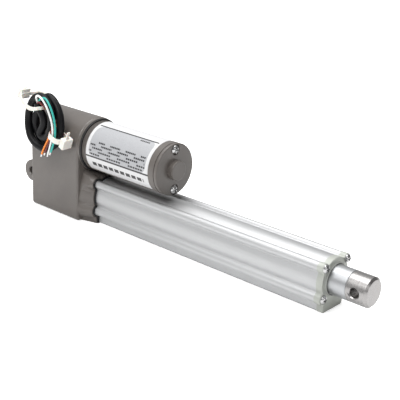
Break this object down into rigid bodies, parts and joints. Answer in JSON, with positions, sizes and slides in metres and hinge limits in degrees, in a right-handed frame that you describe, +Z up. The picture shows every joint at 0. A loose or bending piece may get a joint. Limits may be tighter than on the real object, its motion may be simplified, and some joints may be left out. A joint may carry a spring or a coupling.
{
  "type": "linear actuator",
  "caption": "Parallel-drive electric linear actuator: a motor above a flat-footed tube drives a lead screw that pushes out a round rod, with clevis bores at both ends.",
  "frame": {"origin": "centre of the rear clevis bore, on the rod's axis", "axes": "+X the way the rod extends, +Y across along the clevis bores, +Z up from the tube to the motor"},
  "size_m": [0.3223, 0.0547, 0.095],
  "materials": {
    "taupe_paint": "semi-gloss powder coat",
    "clear_anodised": "satin clear anodised",
    "cap_casting": "fine matt casting",
    "rod_steel": "satin, round polish",
    "turned_steel": "bright turned",
    "screw_chrome": "bright zinc",
    "machined_steel": "machined",
    "bearing_steel": "ground",
    "black_rubber": "matt",
    "cable_jacket": "satin",
    "wire_white": "satin",
    "wire_teal": "satin",
    "wire_orange": "satin",
    "wire_red": "satin",
    "tie_nylon": "satin",
    "label_film": "satin silver film",
    "nut_polymer": "natural acetal",
    "bronze": "sintered",
    "copper": "enamelled wire",
    "magnet": "matt",
    "carbon": "matt",
    "board": "satin",
    "switch_glass": "clear"
  },
  "bodies": {
    "fixed": {"gear_housing": "taupe_paint", "rear_cover": "taupe_paint", "rear_cover_screws": "screw_chrome", "outer_tube": "clear_anodised", "tube_gasket": "black_rubber", "tube_screws": "screw_chrome", "end_cap": "cap_casting", "end_cap_screws": "screw_chrome", "wiper_seal": "black_rubber", "guide_bush": "nut_polymer", "screw_bush": "bronze", "bearing_outer_race": "bearing_steel", "bearing_balls": "bearing_steel", "idler_shaft": "machined_steel", "idler_spacers": "nut_polymer", "motor_gasket": "black_rubber", "motor_bell": "taupe_paint", "motor_can": "taupe_paint", "motor_label": "label_film", "motor_end_cap": "taupe_paint", "motor_screws": "screw_chrome", "motor_bushes": "bronze", "motor_magnets": "magnet", "brushes": "carbon", "brush_holder": "nut_polymer", "limit_board": "board", "reed_switches": "switch_glass", "cable_grommet": "black_rubber", "cable_lead": "cable_jacket", "cable_coil": "cable_jacket", "cable_tie_upper": "tie_nylon", "cable_tie_lower": "tie_nylon", "wire_white": "wire_white", "wire_teal": "wire_teal", "wire_orange": "wire_orange", "wire_red": "wire_red"},
    "rotor": {"motor_shaft": "machined_steel", "motor_pinion": "machined_steel", "armature_core": "machined_steel", "armature_winding": "copper", "commutator": "copper"},
    "idler": {"idler_gear": "machined_steel"},
    "screw": {"lead_screw": "machined_steel", "output_gear": "machined_steel", "gear_key": "machined_steel", "screw_spacer": "machined_steel", "screw_collars": "machined_steel", "bearing_inner_race": "bearing_steel"},
    "rod": {"rod_tube": "rod_steel", "rod_end": "turned_steel", "drive_nut": "nut_polymer", "nut_magnet": "magnet"}
  },
  "joints": [
    {"name": "rod_slide", "type": "slide", "parent": "fixed", "child": "rod", "axis": [1, 0, 0], "range_m": [0, 0.2]},
    {"name": "motor_spin", "type": "hinge", "parent": "fixed", "child": "rotor", "pos_m": [0, 0, 0.0362], "axis": [-1, 0, 0], "range_deg": [0, 132700]},
    {"name": "idler_spin", "type": "hinge", "parent": "fixed", "child": "idler", "pos_m": [0, 0.00191, 0.0181], "axis": [-1, 0, 0], "range_deg": [-48900, 0]},
    {"name": "screw_spin", "type": "hinge", "parent": "fixed", "child": "screw", "pos_m": [0, 0, 0], "axis": [-1, 0, 0], "range_deg": [0, 18010]}
  ],
  "couplings": [
    {"joint": "screw_spin", "follows": "rod_slide", "rad_per_m": 1570.8},
    {"joint": "idler_spin", "follows": "rod_slide", "rad_per_m": -4263.6},
    {"joint": "motor_spin", "follows": "rod_slide", "rad_per_m": 11573}
  ]
}
